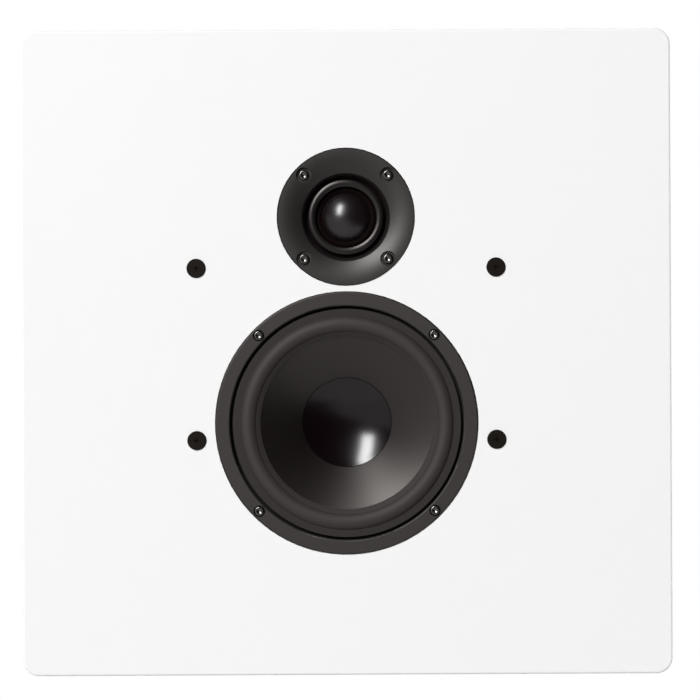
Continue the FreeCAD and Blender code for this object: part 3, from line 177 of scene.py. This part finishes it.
# Plain weave: two sets of threads crossing in the plane of the front
def add_weave(material, threads, relief, strength):
    tree = material.node_tree
    place = add(tree, "ShaderNodeTexCoord")
    warp = add(tree, "ShaderNodeTexWave", bands_direction="X", Scale=threads, Distortion=0.3)
    weft = add(tree, "ShaderNodeTexWave", bands_direction="Z", Scale=threads, Distortion=0.3)
    join(tree, place, "Object", warp, "Vector")
    join(tree, place, "Object", weft, "Vector")
    cloth = combine(tree, "MULTIPLY", warp, "Fac", weft, "Fac")
    add_relief(material, cloth, "Value", relief, strength)


# One between two radii round a driver's axis and zero elsewhere, with soft borders
def ring_mask(material, centre, radii, soft):
    tree = material.node_tree
    inner, outer = radii
    radius = add(tree, "ShaderNodeVectorMath", operation="LENGTH")
    join(tree, from_axis(tree, centre, 0.0), "Vector", radius, 0)
    offset = add(tree, "ShaderNodeMath", operation="SUBTRACT")
    join(tree, radius, "Value", offset, 0)
    offset.inputs[1].default_value = (inner + outer) / 2
    distance = add(tree, "ShaderNodeMath", operation="ABSOLUTE")
    join(tree, offset, "Value", distance, 0)
    border = (outer - inner) / 2
    return smooth_step(tree, distance, "Value", (border - soft, border + soft), (1.0, 0.0))


# Another tint where the mask is one; here it paints the light on the roll and the shade in the groove
def tint_ring(material, mask, tint):
    tree = material.node_tree
    shader = tree.nodes["Principled BSDF"]
    colour = add(tree, "ShaderNodeMix", data_type="RGBA")
    join(tree, mask, "Result", colour, 0)
    tree.links.new(shader.inputs["Base Color"].links[0].from_socket, colour.inputs[6])
    colour.inputs[7].default_value = tint + (1.0,)
    join(tree, colour, 2, shader, "Base Color")


# Another roughness where the mask is one
def dull_ring(material, mask, roughness):
    tree = material.node_tree
    shader = tree.nodes["Principled BSDF"]
    gloss = add(tree, "ShaderNodeMix")
    join(tree, mask, "Result", gloss, 0)
    tree.links.new(shader.inputs["Roughness"].links[0].from_socket, gloss.inputs[2])
    gloss.inputs[3].default_value = roughness
    join(tree, gloss, 0, shader, "Roughness")


# A glossy coat where the mask is one
def coat(material, mask, roughness, ior):
    shader = material.node_tree.nodes["Principled BSDF"]
    join(material.node_tree, mask, "Result", shader, "Coat Weight")
    shader.inputs["Coat Roughness"].default_value = roughness
    shader.inputs["Coat IOR"].default_value = ior


# Cabinet
surface("white_lacquer", (0.865, 0.859, 0.86), 0.42, patch=6.0, spread=0.006,
        grain=350.0, relief=0.00002, strength=0.12)
surface("back_board", (0.03, 0.03, 0.031), 0.62, patch=60.0, spread=0.15, grain=2500.0, relief=0.00004)
surface("raw_wood", (0.5, 0.34, 0.2), 0.65, patch=90.0, spread=0.2)
surface("wadding", (0.74, 0.74, 0.71), 0.95, patch=120.0, spread=0.12,
        grain=600.0, relief=0.001, strength=1.0)

# Drivers, whose blacks reflect a little warmer than the lamps
WARM = (1.0, 0.93, 0.89)
PALE_WARM = (1.0, 0.975, 0.945)
surface("frame_coat", (0.0176, 0.0154, 0.015), 0.5, patch=300.0, spread=0.12,
        grain=2600.0, relief=0.00003, gloss_tint=WARM)
surface("foam", (0.02, 0.02, 0.02), 0.9, grain=1800.0, relief=0.0001)
surface("surround_rubber", (0.0126, 0.0102, 0.01), 0.64, specular=0.38, patch=150.0, spread=0.12,
        grain=3000.0, gloss_tint=WARM)
surface("cone", (0.0022, 0.0005, 0.0008), 0.43, specular=0.75, patch=120.0, spread=0.2,
        grain=2200.0, gloss_tint=WARM)
surface("cap", (0.003, 0.0008, 0.0016), 0.2, specular=0.48, patch=80.0, spread=0.2, gloss_spread=0.02,
        grain=900.0, relief=0.000002)
surface("faceplate", (0.0118, 0.0094, 0.0094), 0.43, specular=0.57, patch=200.0, spread=0.12,
        gloss_spread=0.03, grain=2600.0, gloss_tint=PALE_WARM)
surface("clamp_ring", (0.0052, 0.0038, 0.0042), 0.33, specular=0.45, patch=200.0, spread=0.12,
        gloss_spread=0.03, grain=2600.0, gloss_tint=WARM)
surface("dome", (0.004, 0.0014, 0.0019), 0.75, specular=0.05, patch=300.0, spread=0.2,
        grain=3000.0, gloss_tint=WARM)
surface("former", (0.35, 0.15, 0.03), 0.35)
surface("copper", (0.7, 0.3, 0.15), 0.3, metallic=1.0, grain=4000.0, relief=0.0001)
surface("spider_cloth", (0.5, 0.36, 0.13), 0.85, grain=1800.0, relief=0.0002)
surface("motor_steel", (0.55, 0.55, 0.54), 0.35, metallic=1.0)
surface("ferrite", (0.03, 0.03, 0.033), 0.55, grain=2500.0, relief=0.00005)
surface("insulator", (0.2, 0.09, 0.04), 0.5)
surface("tinned", (0.68, 0.67, 0.63), 0.3, metallic=1.0)

# Fixings
surface("black_screw", (0.14, 0.135, 0.13), 0.26, metallic=1.0, patch=500.0, spread=0.2)
surface("disc_steel", (0.006, 0.0044, 0.0031), 0.35, specular=0.22, patch=300.0, spread=0.2,
        grain=2600.0, relief=0.00002, gloss_tint=WARM)
surface("zinc", (0.62, 0.63, 0.64), 0.32, metallic=1.0, patch=200.0, spread=0.1)

# Connection and crossover
surface("black_plastic", (0.012, 0.012, 0.012), 0.55, grain=2200.0, relief=0.00004)
surface("gold", (0.8, 0.55, 0.2), 0.22, metallic=1.0)
surface("red_plastic", (0.42, 0.012, 0.012), 0.25)
surface("knob_black", (0.012, 0.012, 0.012), 0.25)
surface("board_green", (0.02, 0.13, 0.05), 0.35)
surface("nylon", (0.78, 0.78, 0.74), 0.45)
surface("capacitor", (0.03, 0.07, 0.3), 0.3)
surface("resistor", (0.76, 0.75, 0.7), 0.8, grain=2000.0, relief=0.0001)
surface("lead_sleeve", (0.02, 0.02, 0.02), 0.4)

# What varies round the axes: lines of the cone, painted light on the roll, painted shade in the groove,
# coated dome and two weaves
add_rings(finishes["cone"], WOOFER, 90.0, 0.00002, 0.1)
# Painted light on the roll of the surround: its rubber is made paler there to stand for the light its crest
# catches
painted_light_roll = ring_mask(finishes["surround_rubber"], WOOFER, ROLL, 0.0006)
tint_ring(finishes["surround_rubber"], painted_light_roll, (0.0305, 0.0255, 0.0245))
# Painted shade in the groove round the surround: the frame's coat is made near black there, and fully rough
painted_shade_groove = ring_mask(finishes["frame_coat"], WOOFER, GROOVE, 0.0002)
tint_ring(finishes["frame_coat"], painted_shade_groove, (0.001, 0.001, 0.001))
dull_ring(finishes["frame_coat"], painted_shade_groove, 1.0)
crown = ring_mask(finishes["dome"], TWEETER, DOME_CROWN, 0.0006)
coat(finishes["dome"], crown, 0.3, 1.62)
add_weave(finishes["dome"], 1100.0, 0.00002, 0.15)
add_weave(finishes["spider_cloth"], 400.0, 0.0002, 0.6)

for row in frame["record"]["subparts"]:
    mesh = nodes[row["node"]].data
    mesh.materials.clear()
    mesh.materials.append(finishes[row["material_slot"]])


# The piece's placement is baked into its mesh
def flex(obj):
    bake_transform(obj)


# Straight normals where a turned skin meets its axis, kept as plain vectors
def mend_apex(mesh, centre):
    normals = np.array([corner.vector for corner in mesh.corner_normals])
    corners = np.array([mesh.vertices[loop.vertex_index].co for loop in mesh.loops])
    apex = np.hypot(corners[:, 0] - centre[0], corners[:, 2] - centre[1]) < 0.000001
    normals[apex] = np.sign(normals[apex, 1:2]) * (0.0, 1.0, 0.0)
    old = mesh.attributes.get("custom_normal")
    if old is not None:
        mesh.attributes.remove(old)
    plain = mesh.attributes.new("custom_normal", "FLOAT_VECTOR", "CORNER")
    plain.data.foreach_set("vector", normals.astype(np.float32).ravel())


# A copy of a node's solid that stands for it
def skin_copy(node):
    obj = bpy.data.objects.new(node + "_skin", nodes[node].data.copy())
    bpy.context.scene.collection.objects.link(obj)
    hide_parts(node)
    return obj


# Soft parts, as copies of their solids with the placement baked in
flex(skin_copy("woofer_surround"))
flex(skin_copy("woofer_spider"))
dome_skin = skin_copy("tweeter_dome")
mend_apex(dome_skin.data, TWEETER)
flex(dome_skin)
tinsel = skin_copy("woofer_tinsel_leads")
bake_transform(tinsel)

# The glossy cap shows every error at its apex
cap_skin = skin_copy("woofer_dust_cap")
mend_apex(cap_skin.data, WOOFER)
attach(cap_skin, "woofer_diaphragm")

# Camera straight in front, as in the photograph
camera_data = bpy.data.cameras.new("camera")
camera = bpy.data.objects.new("camera", camera_data)
bpy.context.scene.collection.objects.link(camera)
camera.location = (CAMERA_SHIFT[0], FRONT - CAMERA_DISTANCE, CAMERA_SHIFT[1])
camera.rotation_euler = (math.pi / 2, math.radians(CAMERA_ROLL), 0.0)
camera_data.sensor_width = SENSOR_WIDTH
camera_data.lens = SENSOR_WIDTH * CAMERA_DISTANCE / FRAME_WIDTH
bpy.context.scene.camera = camera


# A rectangular soft lamp that faces the object, with a radiance in which 1 is white
def lamp(name, way, distance, width, height, radiance):
    data = bpy.data.lights.new(name, "AREA")
    data.shape = "RECTANGLE"
    data.size = width
    data.size_y = height
    data.energy = radiance * math.pi * width * height
    obj = bpy.data.objects.new(name, data)
    way = Vector(way).normalized()
    obj.location = Vector((0.0, FRONT, 0.0)) + way * distance
    obj.rotation_euler = (-way).to_track_quat("-Z", "Y").to_euler()
    bpy.context.scene.collection.objects.link(obj)


lamp("key", (-0.363, -0.792, 0.49), 12.0, 2.65, 7.2, 27.1)
lamp("back_left", (-0.62, 0.68, 0.4), 4.0, 2.4, 2.4, 2.2)
lamp("back_right", (0.88, 0.34, -0.33), 4.0, 2.4, 2.4, 5.2)

# Pale floor well below the speaker
floor_data = bpy.data.meshes.new("floor")
angles = [math.tau * corner / FLOOR_CORNERS for corner in range(FLOOR_CORNERS)]
floor_points = [(FLOOR_RADIUS * math.cos(angle), FLOOR_RADIUS * math.sin(angle), FLOOR_HEIGHT)
                for angle in angles]
floor_data.from_pydata(floor_points, [], [tuple(range(FLOOR_CORNERS))])
floor = bpy.data.objects.new("floor", floor_data)
bpy.context.scene.collection.objects.link(floor)

# The floor fades to the white of the background far from the speaker
floor_material = bpy.data.materials.new("floor")
floor_material.use_nodes = True
tree = floor_material.node_tree
tree.nodes.clear()
pale = add(tree, "ShaderNodeBsdfDiffuse", Color=(0.6, 0.6, 0.59, 1.0))
white = add(tree, "ShaderNodeEmission")
place = add(tree, "ShaderNodeTexCoord")
reach = add(tree, "ShaderNodeVectorMath", operation="LENGTH")
join(tree, place, "Object", reach, 0)
fade = smooth_step(tree, reach, "Value", (0.9, 1.5))
rays = add(tree, "ShaderNodeLightPath")
seen_fade = combine(tree, "MULTIPLY", fade, "Result", rays, "Is Camera Ray")
choice = add(tree, "ShaderNodeMixShader")
output = add(tree, "ShaderNodeOutputMaterial")
join(tree, seen_fade, "Value", choice, 0)
join(tree, pale, 0, choice, 1)
join(tree, white, 0, choice, 2)
join(tree, choice, 0, output, "Surface")
floor_data.materials.append(floor_material)

# World: soft light from behind the object and from below, mostly on the left
world = bpy.data.worlds.new("studio")
bpy.context.scene.world = world
world.use_nodes = True
tree = world.node_tree
tree.nodes.clear()
place = add(tree, "ShaderNodeTexCoord")
split = add(tree, "ShaderNodeSeparateXYZ")
join(tree, place, "Generated", split, "Vector")
behind = smooth_step(tree, split, "Y", (-0.1, 0.5), (0.02, 0.7))
lit_side = smooth_step(tree, split, "X", (0.55, 0.0), (0.08, 0.48))
slant = add(tree, "ShaderNodeMath", operation="MULTIPLY_ADD")
join(tree, split, "X", slant, 0)
slant.inputs[1].default_value = 0.28
join(tree, split, "Z", slant, 2)
lower = smooth_step(tree, slant, "Value", (-0.04, -0.2))
below = combine(tree, "MULTIPLY", lit_side, "Result", lower, "Result")
level = combine(tree, "ADD", behind, "Result", below, "Value")
room = add(tree, "ShaderNodeBackground", Color=(1.0, 1.0, 1.0, 1.0))
join(tree, level, "Value", room, "Strength")

# White wall behind the object, for the camera and for what mirrors it
white = add(tree, "ShaderNodeBackground", Color=(1.0, 1.0, 1.0, 1.0))
rays = add(tree, "ShaderNodeLightPath")
wall_side = smooth_step(tree, split, "Y", (0.0, 0.3))
mirrored = combine(tree, "MAXIMUM", rays, "Is Glossy Ray", rays, "Is Transmission Ray")
mirrored_wall = combine(tree, "MULTIPLY", mirrored, "Value", wall_side, "Result")
shown = combine(tree, "MAXIMUM", rays, "Is Camera Ray", mirrored_wall, "Value")
choice = add(tree, "ShaderNodeMixShader")
output = add(tree, "ShaderNodeOutputWorld")
join(tree, shown, "Value", choice, 0)
join(tree, room, 0, choice, 1)
join(tree, white, 0, choice, 2)
join(tree, choice, 0, output, "Surface")

bpy.context.scene.view_settings.view_transform = "Standard"
